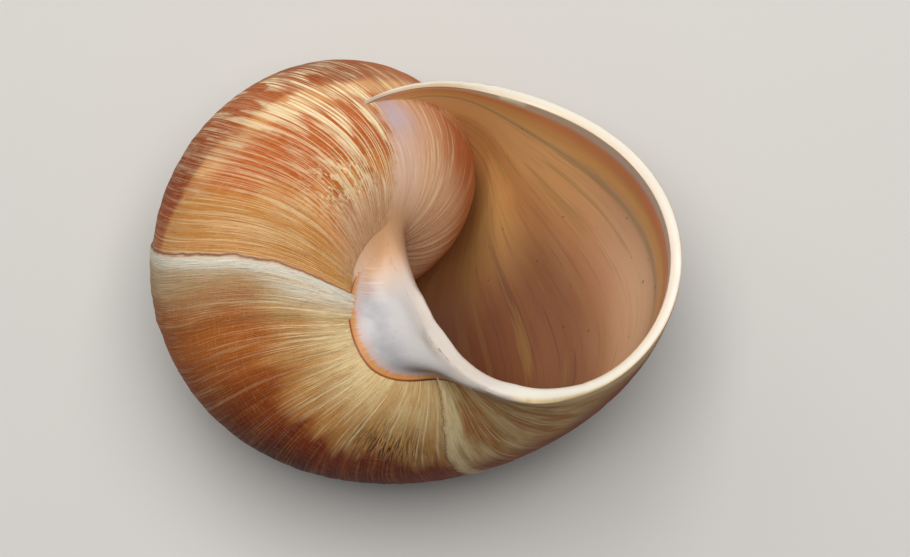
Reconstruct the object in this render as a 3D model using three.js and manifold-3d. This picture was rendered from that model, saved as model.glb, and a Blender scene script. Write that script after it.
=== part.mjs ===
import * as THREE from "three";
import { ParametricGeometry } from "three/addons/geometries/ParametricGeometry.js";
import { mergeVertices } from "three/addons/utils/BufferGeometryUtils.js";
import Module from "manifold-3d";

const TURN = 2 * Math.PI;

// The spiral, in millimetres and radians. Age 0 is the lip, and older shell has a negative age.
const EXPANSION = 1.937; // growth in size over one full turn
const CENTRE_RADIUS = 11.94; // tube centre to the shell's axis, at the lip
const CENTRE_DEPTH = 25.62; // tube centre below the apex, at the lip
const WHORLS = 4 + 1 / 3;
const SPIRE_RISE = -1.9; // the oldest whorls sit this much lower than in a plain spiral
const SPIRE_RISE_POWER = 1.5;
const NUCLEUS_RADIUS = 1.2;

// The tube's cross-section in the plane through the axis: waves once, twice and three times round.
const ACROSS_COS = [10.84, 0.94, 0.46]; // away from the axis
const ACROSS_SIN = [0, -2.17, -0.4];
const UPWARD_COS = [0, 2.55, -0.68]; // towards the apex
const UPWARD_SIN = [15.84, -0.46, 0.82];
const SECTION_LEAN = -0.1336;

// How far each place round the tube runs ahead of the tube's centre along the spiral.
const LEAD_COS = [-0.4424, 0.0737, 0.0444];
const LEAD_SIN = [0.7392, -0.2209, 0.0171];

// The last three eighths of a turn sinks and widens a little.
const END_REACH = 0.75 * Math.PI;
const END_DROP = 3.5;
const END_SHRINK = 0.054;
const END_STRETCH = -0.014;

// The wall.
const WALL = 1.0;
const WALL_POWER = 0.5; // the wall thins towards the apex, slower than the tube does
const LIP_EXTRA = 0.95; // more wall at the base of the lip
const LIP_EXTRA_PLACE = -1.95;
const LIP_EXTRA_SPREAD = 0.5;
const LIP_EXTRA_REACH = 0.5;

// The plate that folds back from the lip over the hollow round the axis.
const PLATE_OLDEST = -4.8;
const PLATE_NEWEST = -0.45;
const PLATE_LIP_START = -1.93; // place on the lip for plate age 0
const PLATE_LIP_RATE = 0.3;
const PLATE_OUTER = -1.74; // place of the plate's outer edge on the last whorl
const PLATE_OUTER_DIP = 0.3;
const PLATE_WAVE = 0.5; // hollow beside the whorl, and rounded beside the lip
const PLATE_WALL = 0.9;
const PLATE_ROOT = 0.35; // how deep the fixed edge sits in the wall below
const FREE_EDGE_START = -1.7; // from here the edge leaves the whorl and runs up to the lip

// Facets.
const ROUND = 26;
const PIECES_PER_TURN = 3;
const HOLLOW_PIECES = 9;
const STEPS_NEWEST = 11;
const STEPS_MIDDLE = 6;
const STEPS_OLDEST = 4;
const CORE_ROUND = 12;
const CORE_STEPS = 16;
const MERGE = 1e-4;
const SIMPLE = 0.04; // facets that stray from the surface by less than this are joined

// The resting position, on its back with the mouth up: turns about X, Y and Z, in degrees.
const REST_TURN = [-140.4, -1.8, 42.7];
const REST_FLAT = 0.2; // height of the small worn flat that it rests on

const wasm = await Module();
wasm.setup();

const GROWTH = Math.log(EXPANSION) / TURN;

function waves(cosines, sines, place) {
  let sum = 0;
  for (let n = 0; n < cosines.length; n += 1) {
    sum += cosines[n] * Math.cos((n + 1) * place);
    sum += sines[n] * Math.sin((n + 1) * place);
  }
  return sum;
}

function lead(place) {
  return waves(LEAD_COS, LEAD_SIN, place);
}

// A point of the tube's outside in the plane through the axis: distance from it, and height.
function sectionPoint(angle, age, place) {
  const size = Math.exp(GROWTH * angle);
  const across = waves(ACROSS_COS, ACROSS_SIN, place);
  const upward = waves(UPWARD_COS, UPWARD_SIN, place);
  const c = Math.cos(SECTION_LEAN);
  const s = Math.sin(SECTION_LEAN);
  const end = Math.max((age + END_REACH) / END_REACH, 0) ** 2;
  const old = Math.max(1 - Math.exp(GROWTH * (angle + TURN)), 0);
  const x = (across * c - upward * s) * (1 - END_SHRINK * end);
  const y = (across * s + upward * c) * (1 + END_STRETCH * end);
  return [
    (CENTRE_RADIUS + x) * size,
    (y - CENTRE_DEPTH - END_DROP * end) * size + SPIRE_RISE * old ** SPIRE_RISE_POWER,
  ];
}

// The same point in space, set inwards from the outside by a depth.
function tubePoint(age, place, depth, target) {
  const angle = age + lead(place);
  const step = 1e-3;
  const [r, w] = sectionPoint(angle, age, place);
  let radius = r;
  let height = w;
  if (depth !== 0) {
    const [rBefore, wBefore] = sectionPoint(angle, age, place - step);
    const [rAfter, wAfter] = sectionPoint(angle, age, place + step);
    const length = Math.hypot(rAfter - rBefore, wAfter - wBefore);
    radius -= (depth * (wAfter - wBefore)) / length;
    height += (depth * (rAfter - rBefore)) / length;
  }
  return target.set(radius * Math.cos(angle), -radius * Math.sin(angle), height);
}

function wallAt(age, place) {
  const turned = Math.atan2(Math.sin(place - LIP_EXTRA_PLACE), Math.cos(place - LIP_EXTRA_PLACE));
  const near = Math.exp(-((turned / LIP_EXTRA_SPREAD) ** 2)) * Math.exp(age / LIP_EXTRA_REACH);
  return WALL * Math.exp(GROWTH * WALL_POWER * age) + LIP_EXTRA * near;
}

function solidOf(geometry) {
  const bare = geometry.clone();
  bare.deleteAttribute("normal");
  bare.deleteAttribute("uv");
  const merged = mergeVertices(bare, MERGE);
  const index = merged.getIndex().array;
  const kept = [];
  for (let i = 0; i < index.length; i += 3) {
    const [a, b, c] = [index[i], index[i + 1], index[i + 2]];
    if (a !== b && b !== c && c !== a) {
      kept.push(a, b, c);
    }
  }
  const mesh = new wasm.Mesh({
    numProp: 3,
    vertProperties: new Float32Array(merged.getAttribute("position").array),
    triVerts: new Uint32Array(kept),
  });
  return new wasm.Manifold(mesh);
}

// A length of tube wall: the outside from old to new, then the inside back again.
function wallPiece(ages) {
  const last = ages.length - 1;
  const rows = 2 * ages.length;
  return solidOf(
    new ParametricGeometry(
      (u, v, target) => {
        const row = Math.round(v * rows) % rows;
        const outside = row <= last;
        const age = ages[outside ? row : rows - 1 - row];
        const place = (Math.round(u * ROUND) % ROUND) * (TURN / ROUND);
        tubePoint(age, place, outside ? 0 : wallAt(age, place), target);
      },
      ROUND,
      rows,
    ),
  );
}

// A length of tube, filled, with its surface inside the wall by a share of the wall.
function filledPiece(ages, round, share) {
  const last = ages.length - 1;
  const rows = last + 2;
  return solidOf(
    new ParametricGeometry(
      (u, v, target) => {
        const row = Math.round(v * rows);
        const age = ages[Math.min(Math.max(row - 1, 0), last)];
        const place = (Math.round(u * round) % round) * (TURN / round);
        tubePoint(age, place, share * wallAt(age, place), target);
        if (row === 0 || row === rows) {
          const across = tubePoint(age, Math.PI, 0, new THREE.Vector3());
          tubePoint(age, 0, 0, target).lerp(across, 0.5);
        }
      },
      round,
      rows,
    ),
  );
}

function smooth(value, low, high) {
  const x = Math.min(Math.max((value - low) / (high - low), 0), 1);
  return x * x * (3 - 2 * x);
}

function plateOuterPlace(age) {
  const dip = PLATE_OUTER_DIP * smooth(age, -2.4, -0.9);
  return PLATE_OUTER - dip + 0.2 * (Math.max(-age - 4, 0) / 0.7) ** 2;
}

// The plate: each age is a strip from the last whorl's base to the lip.
function plate() {
  const strips = 28;
  const side = 6;
  const round = 2 * side + 2;
  const edge = new THREE.Vector3();
  const lip = new THREE.Vector3();
  const ahead = new THREE.Vector3();
  const span = new THREE.Vector3();
  const along = new THREE.Vector3();
  const out = new THREE.Vector3();
  return solidOf(
    new ParametricGeometry(
      (u, v, target) => {
        const strip = Math.round(v * strips);
        const age = PLATE_OLDEST + ((PLATE_NEWEST - PLATE_OLDEST) * strip) / strips;
        tubePoint(age, plateOuterPlace(age), PLATE_ROOT, edge);
        tubePoint(-0.02, PLATE_LIP_START + PLATE_LIP_RATE * age, 0.5 * WALL, lip);
        tubePoint(age + 0.05, plateOuterPlace(age + 0.05), PLATE_ROOT, ahead);
        span.subVectors(lip, edge);
        along.subVectors(ahead, edge);
        out.crossVectors(along, span).normalize();
        if (out.z > 0) {
          out.negate();
        }
        edge.lerp(lip, 0.85 * smooth(age, FREE_EDGE_START, PLATE_NEWEST));
        const place = (round - Math.round(u * round)) % round;
        const top = place <= side;
        const share = top ? place / side : (round - 1 - place) / side;
        target.lerpVectors(edge, lip, share);
        const fade = 1 - 0.9 * smooth(age, FREE_EDGE_START, PLATE_NEWEST);
        target.addScaledVector(out, -PLATE_WAVE * fade * Math.sin(TURN * share));
        if (!top) {
          target.addScaledVector(out, -PLATE_WALL * fade);
        }
        if (strip === 0 || strip === strips) {
          target.lerpVectors(edge, lip, 0.5).addScaledVector(out, -0.5 * PLATE_WALL * fade);
        }
      },
      round,
      strips,
    ),
  );
}

function positive(solid) {
  if (solid.volume() > 0) {
    return solid;
  }
  throw new Error(`a piece came out inside out: ${solid.volume()}`);
}

function agesBetween(oldest, newest, steps) {
  return Array.from({ length: steps + 1 }, (_, n) => oldest + ((newest - oldest) * n) / steps);
}

const pieceAge = TURN / PIECES_PER_TURN;
const hollowStart = -HOLLOW_PIECES * pieceAge;
const oldestAge = -WHORLS * TURN;

const coreAges = agesBetween(oldestAge, hollowStart + 0.3, CORE_STEPS);
let shell = positive(filledPiece(coreAges, CORE_ROUND, 0.3));
const filled = [];
let before = [];
for (let n = 0; n < HOLLOW_PIECES; n += 1) {
  const oldest = -(HOLLOW_PIECES - n) * pieceAge;
  const newest = -(HOLLOW_PIECES - n - 1) * pieceAge;
  const turnsBack = Math.floor((HOLLOW_PIECES - 1 - n) / PIECES_PER_TURN);
  const ages = agesBetween(oldest, newest, [STEPS_NEWEST, STEPS_MIDDLE, STEPS_OLDEST][turnsBack]);
  // Each length shares its first step with the one before, so that the two join.
  const joined = [...before, ...ages];
  before = ages.slice(-2, -1);
  let wall = positive(wallPiece(joined));
  for (const older of filled.slice(0, -1)) {
    wall = wall.subtract(older);
  }
  shell = shell.add(wall);
  filled.push(positive(filledPiece(joined, ROUND, 0.5)));
}
shell = shell.add(positive(plate()));

// The rounded beginning of the shell, over the start of the spiral.
const nucleus = new THREE.SphereGeometry(NUCLEUS_RADIUS, 14, 8);
nucleus.rotateX(Math.PI / 2);
nucleus.translate(0, 0, tubePoint(oldestAge, Math.PI / 2, 0, new THREE.Vector3()).z - 0.75 * NUCLEUS_RADIUS);
shell = shell.add(positive(solidOf(nucleus)));

// Joining leaves crumbs of no volume beside the one body.
const bodies = shell.simplify(SIMPLE).decompose();
const body = bodies.reduce((a, b) => (a.volume() > b.volume() ? a : b));

// Stood on the ground, with the middle of its box over the origin.
const turned = body.rotate(REST_TURN);
const lowest = turned.boundingBox().min[2];
const ground = new THREE.BoxGeometry(200, 200, 20);
ground.translate(0, 0, lowest + REST_FLAT - 10);
const flattened = turned.subtract(positive(solidOf(ground))).simplify(SIMPLE);
const box = flattened.boundingBox();
const result = flattened.translate([
  -(box.min[0] + box.max[0]) / 2,
  -(box.min[1] + box.max[1]) / 2,
  -box.min[2],
]);
const mesh = result.getMesh();
const geometry = new THREE.BufferGeometry();
geometry.setAttribute("position", new THREE.BufferAttribute(mesh.vertProperties, 3));
geometry.setIndex(new THREE.BufferAttribute(mesh.triVerts, 1));
geometry.computeVertexNormals();

const shellMesh = new THREE.Mesh(
  geometry,
  new THREE.MeshStandardMaterial({ color: 0xc98a54, roughness: 0.35 }),
);
shellMesh.name = "shell";

const group = new THREE.Group();
group.name = "snail_shell";
group.add(shellMesh);
export default group;
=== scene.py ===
"""The empty shell of a land snail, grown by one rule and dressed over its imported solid."""

from __future__ import annotations

import logging
import math
from dataclasses import dataclass
from enum import Enum
from typing import Callable, Sequence

import bmesh
import bpy
import numpy as np
from mathutils import Euler, Matrix, Vector
from mathutils.bvhtree import BVHTree
from mathutils.kdtree import KDTree

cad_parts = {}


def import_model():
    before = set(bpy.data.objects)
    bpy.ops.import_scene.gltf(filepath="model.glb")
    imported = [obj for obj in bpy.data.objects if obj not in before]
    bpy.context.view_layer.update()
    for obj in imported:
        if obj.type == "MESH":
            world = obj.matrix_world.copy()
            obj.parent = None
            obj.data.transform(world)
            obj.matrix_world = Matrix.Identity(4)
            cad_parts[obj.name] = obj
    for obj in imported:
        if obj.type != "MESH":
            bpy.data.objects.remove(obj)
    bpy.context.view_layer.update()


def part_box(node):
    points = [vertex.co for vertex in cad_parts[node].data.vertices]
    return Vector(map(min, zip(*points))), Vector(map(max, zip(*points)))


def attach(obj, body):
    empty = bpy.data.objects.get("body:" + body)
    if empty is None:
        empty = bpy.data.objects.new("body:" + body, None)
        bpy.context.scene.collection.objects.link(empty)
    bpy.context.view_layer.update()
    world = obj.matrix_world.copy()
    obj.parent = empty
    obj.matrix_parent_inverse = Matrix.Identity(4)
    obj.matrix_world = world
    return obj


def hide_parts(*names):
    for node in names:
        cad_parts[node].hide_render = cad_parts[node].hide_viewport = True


log = logging.getLogger("snail_shell")

TURN = 2 * math.pi
MM = 0.001
PULLS = (0.02, 20)
MELT_STEP = 0.6


class Field:
    """A number that a node tree works out, which takes part in sums as a plain number does."""

    def __init__(self, tree: bpy.types.NodeTree, socket: bpy.types.NodeSocket) -> None:
        """Wraps one output socket.

        Args:
            tree: The node tree that the socket belongs to.
            socket: The output socket that gives the number.
        """
        self.tree = tree
        self.socket = socket

    def math(self, operation: str, *others: Field | float) -> Field:
        """Adds one Math node.

        Args:
            operation: The node's operation, such as MULTIPLY.
            *others: The second and third operands, where the operation has them.

        Returns:
            The node's result.
        """
        node = self.tree.nodes.new("ShaderNodeMath")
        node.operation = operation
        for slot, value in enumerate((self, *others)):
            plug(self.tree, value, node.inputs[slot])
        return Field(self.tree, node.outputs[0])

    def __add__(self, other: Field | float) -> Field:
        """The sum."""
        return self.math("ADD", other)

    def __sub__(self, other: Field | float) -> Field:
        """The difference."""
        return self.math("SUBTRACT", other)

    def __rsub__(self, other: float) -> Field:
        """The difference from a plain number."""
        return self.math("MULTIPLY_ADD", -1.0, other)

    def __mul__(self, other: Field | float) -> Field:
        """The product."""
        return self.math("MULTIPLY", other)

    def __truediv__(self, other: Field | float) -> Field:
        """The quotient."""
        return self.math("DIVIDE", other)

    def __rtruediv__(self, other: float) -> Field:
        """A plain number divided by this one."""
        return (self**-1.0) * other

    def __pow__(self, other: float) -> Field:
        """The number to a power."""
        return self.math("POWER", other)

    __radd__ = __add__
    __rmul__ = __mul__


Number = Field | np.ndarray | float


def plug(tree: bpy.types.NodeTree, value: object, socket: bpy.types.NodeSocket) -> None:
    """Gives a node's input a field, another node's output or a plain value.

    Args:
        tree: The tree that holds the node.
        value: What the input receives.
        socket: The input.
    """
    source = value.socket if isinstance(value, Field) else value
    if isinstance(source, bpy.types.NodeSocket):
        tree.links.new(source, socket)
    else:
        socket.default_value = source


def either(operation: str, plain: Callable[..., np.ndarray]) -> Callable[..., Number]:
    """Makes a function that works on fields and on plain numbers alike.

    Args:
        operation: The Math node's operation, for a field.
        plain: The function for plain numbers.

    Returns:
        The function.
    """

    def work(x: Number, *others: float) -> Number:
        """Works out the result in the way that suits x."""
        return x.math(operation, *others) if isinstance(x, Field) else plain(x, *others)

    return work


cos = either("COSINE", np.cos)
sin = either("SINE", np.sin)
exp = either("EXPONENT", np.exp)
sqrt = either("SQRT", np.sqrt)
above = either("MAXIMUM", np.maximum)
below = either("MINIMUM", np.minimum)


def smooth(x: Number, low: float, high: float) -> Number:
    """A smooth rise from 0 at low to 1 at high."""
    share = below(above((x - low) / (high - low), 0.0), 1.0)
    return share * share * (3.0 - 2.0 * share)


def bump(x: Number, centre: float, reach: float) -> Number:
    """A smooth hill of height 1 over centre, gone a little past reach."""
    share = (x - centre) / reach
    return exp(-1.0 * (share * share))


class Wiring:
    """A node tree that is wired by calls."""

    def __init__(self, tree: bpy.types.NodeTree) -> None:
        """Takes the tree in hand."""
        self.tree = tree

    def node(self, kind: str, **values: object) -> bpy.types.Node:
        """Adds a node.

        Args:
            kind: The node's type.
            **values: The node's properties, and the values of its inputs, which have a
                capital first and underscores for spaces.

        Returns:
            The node.
        """
        made = self.tree.nodes.new(kind)
        for name, value in values.items():
            if name[0].islower():
                setattr(made, name, value)
            else:
                plug(self.tree, value, made.inputs[name.replace("_", " ")])
        return made

    def field(self, kind: str, **values: object) -> Field:
        """Adds a node and gives its first output."""
        return Field(self.tree, self.node(kind, **values).outputs[0])

    def split(self, pair: bpy.types.NodeSocket) -> tuple[Field, Field]:
        """Splits a pair of numbers into its two fields."""
        parts = self.node("ShaderNodeSeparateXYZ", Vector=pair)
        return Field(self.tree, parts.outputs[0]), Field(self.tree, parts.outputs[1])


@dataclass(frozen=True)
class GrowthRule:
    """The rule that the shell grows by, in millimetres and radians.

    Age is the angle grown since, 0 at the lip and negative in older shell. Place goes round the
    tube: 0 is furthest from the axis, and a quarter turn is towards the apex.
    """

    expansion: float = 1.937
    centre_radius: float = 11.94
    centre_depth: float = 25.62
    whorls: float = 4 + 1 / 3
    spire_rise: float = -1.9
    spire_rise_power: float = 1.5
    across_cos: tuple[float, ...] = (10.84, 0.94, 0.46)
    across_sin: tuple[float, ...] = (0.0, -2.17, -0.4)
    upward_cos: tuple[float, ...] = (0.0, 2.55, -0.68)
    upward_sin: tuple[float, ...] = (15.84, -0.46, 0.82)
    section_lean: float = -0.1336
    lead_cos: tuple[float, ...] = (-0.4424, 0.0737, 0.0444)
    lead_sin: tuple[float, ...] = (0.7392, -0.2209, 0.0171)
    end_reach: float = 0.75 * math.pi
    end_drop: float = 3.5
    end_shrink: float = 0.054
    end_stretch: float = -0.014
    wall: float = 1.0
    wall_power: float = 0.5
    lip_extra: float = 0.6
    lip_extra_place: float = -1.95
    lip_extra_spread: float = 0.5
    lip_extra_reach: float = 0.5
    tip_thinning: float = 0.6
    tip_place: float = 1.85
    tip_spread: float = 0.35
    bevel: float = 0.12
    bevel_reach: float = 0.08
    free_place: float = 0.25
    free_flatness: float = 0.6
    free_edge: tuple[float, float] = (-0.25, 0.35)
    line_lean: float = 0.045
    line_place: float = 0.5
    least_radius: float = 4.0

    @property
    def growth(self) -> float:
        """Growth in size for each radian of age, as a logarithm."""
        return math.log(self.expansion) / TURN

    @staticmethod
    def waves(cosines: Sequence[float], sines: Sequence[float], place: Number) -> Number:
        """Sums waves that go once, twice and three times round the tube.

        Args:
            cosines: The height of each cosine wave.
            sines: The height of each sine wave.
            place: Where round the tube.

        Returns:
            The sum of the waves there.
        """
        total: Number = 0.0
        for n, (c, s) in enumerate(zip(cosines, sines), start=1):
            if c:
                total = cos(place * n) * c + total
            if s:
                total = sin(place * n) * s + total
        return total

    def lead(self, place: Number) -> Number:
        """How far a place on a growth line runs ahead of the tube's centre."""
        return self.waves(self.lead_cos, self.lead_sin, place)

    def section(self, angle: Number, age: Number, place: Number) -> tuple[Number, Number]:
        """A point of the tube's outside in the plane through the axis.

        Args:
            angle: The plane's angle round the axis.
            age: The age of the growth line through the point.
            place: Where round the tube.

        Returns:
            The point's distance from the axis and its height.
        """
        size = exp(angle * self.growth)
        across = self.waves(self.across_cos, self.across_sin, place)
        upward = self.waves(self.upward_cos, self.upward_sin, place)
        c = math.cos(self.section_lean)
        s = math.sin(self.section_lean)
        end = above((age + self.end_reach) / self.end_reach, 0.0)
        end = end * end
        old = above(1.0 - exp((angle + TURN) * self.growth), 0.0)
        x = (across * c - upward * s) * (1.0 - self.end_shrink * end)
        y = (across * s + upward * c) * (1.0 + self.end_stretch * end)
        radius = (x + self.centre_radius) * size
        height = (y - self.centre_depth - self.end_drop * end) * size
        return radius, height + self.spire_rise * old**self.spire_rise_power

    def wall_at(self, age: Number, place: Number) -> Number:
        """The wall's thickness.

        Args:
            age: The age of the growth line.
            place: The place on it.

        Returns:
            The thickness, which is greatest at the lip's base and is bevelled away, on the
            inside, towards the lip's free edge and its tip.
        """
        base = (1.0 - cos(place - self.lip_extra_place)) * 2.0
        tip = (1.0 - cos(place - self.tip_place)) * 2.0
        extra = exp(base / -(self.lip_extra_spread**2)) * self.lip_extra
        extra = extra - exp(tip / -(self.tip_spread**2)) * self.tip_thinning
        plain = self.wall * exp(age * (self.growth * self.wall_power))
        bevel = self.free_share(place) * self.bevel
        return plain + extra * exp(age / self.lip_extra_reach) - bevel * exp(age / self.bevel_reach)

    def line_age(self, age: Number, place: Number) -> Number:
        """The age of the growth line at a place; the lines lean back on the outside."""
        return age + (cos(place - self.line_place) + 1.0) * self.line_lean

    def free_share(self, place: Number) -> Number:
        """How far the lip stands free at a place: 1 away from the columella, else 0."""
        return smooth(cos(place - self.free_place), *self.free_edge)

    def point(
        self, age: Number, place: Number, depth: Number, ahead: Number = 0.0
    ) -> tuple[Number, Number, Number]:
        """A point of the wall in space.

        Args:
            age: The age of the growth line through it.
            place: Where round the tube.
            depth: How far it is inwards from the outside.
            ahead: A distance that it is moved on along the growth, past its growth line.

        Returns:
            The point's three coordinates in the shell's own frame, with the apex up.
        """
        step = 1e-2
        angle = age + self.lead(place)
        radius, height = self.section(angle, age, place)
        r_before, h_before = self.section(angle, age, place - step)
        r_after, h_after = self.section(angle, age, place + step)
        along_r = r_after - r_before
        along_h = h_after - h_before
        length = sqrt(along_r * along_r + along_h * along_h)
        angle = ahead / above(radius, self.least_radius) + angle
        radius = radius - depth * along_h / length
        height = height + depth * along_r / length
        return radius * cos(angle), radius * sin(angle) * -1.0, height


@dataclass(frozen=True)
class Rows:
    """Growth lines numbered back from the lip, evenly spaced along the shell's surface."""

    rule: GrowthRule
    in_all: int = 680
    stride: int = 4

    @property
    def reach(self) -> float:
        """The share of the lip's size that is lost from the lip to the oldest row."""
        return 1.0 - math.exp(-self.rule.growth * self.rule.whorls * TURN)

    def age(self, row: Field) -> Field:
        """The age of a row.

        Args:
            row: The row's number, which is 0 at the lip.

        Returns:
            The age, in radians.
        """
        size = row * (-self.reach / self.in_all) + 1.0
        return size.math("LOGARITHM", math.e) / self.rule.growth

    def nearest(self, age: float) -> int:
        """The row nearest to an age, among those that the inside of the wall has too."""
        lost = 1.0 - math.exp(self.rule.growth * age)
        return self.stride * round(self.in_all * lost / self.reach / self.stride)


class GrowthTree(Wiring):
    """A Geometry Nodes tree with named inputs, which makes one closed mesh out of a grid."""

    def __init__(self, name: str, **inputs: str) -> None:
        """Starts a tree.

        Args:
            name: The tree's name.
            **inputs: The last word of each input's socket type, by the input's name with
                underscores for spaces.
        """
        super().__init__(bpy.data.node_groups.new(name, "GeometryNodeTree"))
        self.tree.is_modifier = True
        new = self.tree.interface.new_socket
        new("Geometry", in_out="OUTPUT", socket_type="NodeSocketGeometry")
        self.sockets: dict[str, str] = {}
        for key, kind in inputs.items():
            made = new(key.replace("_", " "), in_out="INPUT", socket_type="NodeSocket" + kind)
            self.sockets[key] = made.identifier
        entry = self.tree.nodes.new("NodeGroupInput")
        self.inputs = [Field(self.tree, entry.outputs[n]) for n in range(len(inputs))]

    def grid(self, across: Field, along: Field) -> tuple[bpy.types.NodeSocket, Field, Field]:
        """Adds the grid that becomes the mesh.

        Args:
            across: How many steps go round the tube.
            along: How many steps go along the profile.

        Returns:
            The grid, and the fields of its shares across and along.
        """
        grid = self.node(
            "GeometryNodeMeshGrid",
            Size_X=1.0,
            Size_Y=1.0,
            Vertices_X=across + 1.0,
            Vertices_Y=along + 1.0,
        )
        return grid.outputs["Mesh"], *self.split(grid.outputs["UV Map"])

    def finish(
        self,
        mesh: bpy.types.NodeSocket,
        maps: dict[str, tuple[Number, Number]],
        point: Sequence[Number],
        material: Field,
    ) -> None:
        """Keeps the maps, moves the grid's points, closes its seams and ends the tree.

        Args:
            mesh: The grid.
            maps: The two numbers that each map keeps at every face corner.
            point: The coordinates of each point.
            material: The material input.
        """
        for name, (first, second) in maps.items():
            pair = self.node("ShaderNodeCombineXYZ", X=first, Y=second)
            mesh = self.node(
                "GeometryNodeStoreNamedAttribute",
                data_type="FLOAT2",
                domain="CORNER",
                Geometry=mesh,
                Name=name,
                Value=pair.outputs[0],
            ).outputs[0]
        spot = self.node("ShaderNodeCombineXYZ", X=point[0], Y=point[1], Z=point[2])
        moved = self.node("GeometryNodeSetPosition", Geometry=mesh, Position=spot.outputs[0])
        merged = self.field("GeometryNodeMergeByDistance", Geometry=moved.outputs[0], Distance=1e-5)
        real = self.field("GeometryNodeRealizeInstances", Geometry=merged)
        dressed = self.field("GeometryNodeSetMaterial", Geometry=real, Material=material)
        self.tree.links.new(dressed.socket, self.node("NodeGroupOutput").inputs[0])


@dataclass(frozen=True)
class TubeTree:
    """The tree that sweeps a closed length of wall, or of filled tube, by the growth rule."""

    rule: GrowthRule
    rows: Rows
    seam: float = 2.2
    growth_map: str = "growth_map"
    skin_map: str = "skin_map"
    step_rise: tuple[float, float] = (-3.545, -3.515)
    step_fall: tuple[float, float] = (-3.45, -2.85)
    step_height: float = 0.14
    halt_age: float = -1.19
    halt_height: float = 0.1
    fresh_age: float = -3.25
    chip_depth: float = 0.35
    chipped: tuple[float, float] = (-1.5, -0.9)

    def place(self, u: Number) -> Number:
        """The place round the tube at a share of the way round from the seam."""
        return u * TURN + (self.seam - TURN)

    def closed_place(self, u: Field, across: Field) -> Field:
        """The place at a share of the way round, with the last step back on the first."""
        return self.place((u * across).math("ROUND").math("MODULO", across) / across)

    def wall(self) -> GrowthTree:
        """Builds the tree of a length of wall.

        Returns:
            The tree, whose profile runs along the outside from old to new, round the newest
            end, and back along the inside.
        """
        tree = GrowthTree(
            "wall_length",
            Oldest_Row="Int",
            Newest_Row="Int",
            Steps_Round="Int",
            End_Steps="Int",
            End_Rounding="Float",
            Relief="Float",
            Material="Material",
        )
        oldest, newest, across, turn_steps, rounding, relief, material = tree.inputs
        outer = oldest - newest
        inner = outer / float(self.rows.stride)
        along = outer + turn_steps + inner + 1.0
        mesh, u, v = tree.grid(across, along)
        row = (v * along).math("ROUND")
        step_out = below(row, outer)
        bend = below(above((row - outer) / turn_steps, 0.0), 1.0)
        step_in = above(row - outer - turn_steps, 0.0)
        closing = above(step_in - inner, 0.0)
        step_in = below(step_in, inner) * (1.0 - closing)
        line = oldest - step_out * (1.0 - closing) + step_in * float(self.rows.stride)
        age = self.rows.age(line)
        place = self.closed_place(u, across)
        inside = (0.5 - cos(bend * math.pi) * 0.5) * (1.0 - closing)
        wall = self.rule.wall_at(age, place)
        ridges = self.ridges(tree, self.rule.line_age(age, place)) * relief * (1.0 - inside)
        chips = self.chips(tree, place) * rounding
        swell = rounding * (1.0 - self.rule.free_share(place) * self.rule.free_flatness)
        ahead = sin(bend * math.pi) * (wall * 0.5 * swell - chips)
        point = self.rule.point(age, place, wall * inside - ridges, ahead)
        maps = {self.growth_map: (age, self.place(u)), self.skin_map: (inside, 0.0)}
        tree.finish(mesh, maps, point, material)
        return tree

    def ridges(self, tree: GrowthTree, age: Field) -> Field:
        """The relief of the growth lines, which is the same all round the tube.

        Args:
            tree: The tree.
            age: The growth line's age.

        Returns:
            How far the outside stands out, in millimetres.
        """
        broad = tree.field(
            "ShaderNodeTexNoise", noise_dimensions="1D", W=age, Scale=9.0, Detail=3.0, Roughness=0.7
        )
        waves = (broad - 0.5) * (bump(age, self.fresh_age, 0.3) * 0.12 + 0.16)
        step = smooth(age, *self.step_rise) * (1.0 - smooth(age, *self.step_fall))
        halt = bump(age, self.halt_age, 0.03) * self.halt_height
        return waves + step * self.step_height + halt

    def chips(self, tree: GrowthTree, place: Field) -> Field:
        """How far the free part of the lip's edge is chipped back.

        Args:
            tree: The tree.
            place: The place round the lip.

        Returns:
            The depth of the chips, in millimetres.
        """
        rough = tree.field(
            "ShaderNodeTexNoise", noise_dimensions="1D", W=place, Scale=7.0, Detail=3.0, Roughness=0.7
        )
        return smooth(rough, 0.52, 0.75) * smooth(place, *self.chipped) * self.chip_depth

    def filling(self) -> GrowthTree:
        """Builds the tree of a filled length of tube.

        Returns:
            The tree, whose solid reaches as far into the wall as its depth share says.
        """
        tree = GrowthTree(
            "filled_length",
            Oldest_Row="Int",
            Newest_Row="Int",
            Steps_Round="Int",
            Row_Step="Int",
            Depth_Share="Float",
            Inside="Float",
            Material="Material",
        )
        oldest, newest, across, skip, depth_share, inside, material = tree.inputs
        along = ((oldest - newest) / skip).math("CEIL") + 2.0
        mesh, u, v = tree.grid(across, along)
        row = (v * along).math("ROUND")
        body = below(above(row - 1.0, 0.0), along - 2.0)
        age = self.rows.age(above(oldest - body * skip, newest))
        place = self.closed_place(u, across)
        point = self.rule.point(age, place, self.rule.wall_at(age, place) * depth_share)
        outermost = self.rule.point(age, 0.0, 0.0)
        innermost = self.rule.point(age, math.pi, 0.0)
        at_end = row.math("LESS_THAN", 0.5) + row.math("GREATER_THAN", along - 0.5)
        closed = [
            spot + ((a + b) * 0.5 - spot) * at_end
            for spot, a, b in zip(point, outermost, innermost)
        ]
        maps = {self.growth_map: (age, self.place(u)), self.skin_map: (inside, 0.0)}
        tree.finish(mesh, maps, closed, material)
        return tree


class Cut(Enum):
    """What a boolean does with its second solid."""

    JOIN = "UNION"
    TAKE_AWAY = "DIFFERENCE"
    KEEP_SHARED = "INTERSECT"


def put(name: str, mesh: bpy.types.Mesh) -> bpy.types.Object:
    """Adds an object to the scene, at the origin.

    Args:
        name: Its name.
        mesh: The mesh that it holds.

    Returns:
        The object.
    """
    made = bpy.data.objects.new(name, mesh)
    bpy.context.scene.collection.objects.link(made)
    return made


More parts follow.
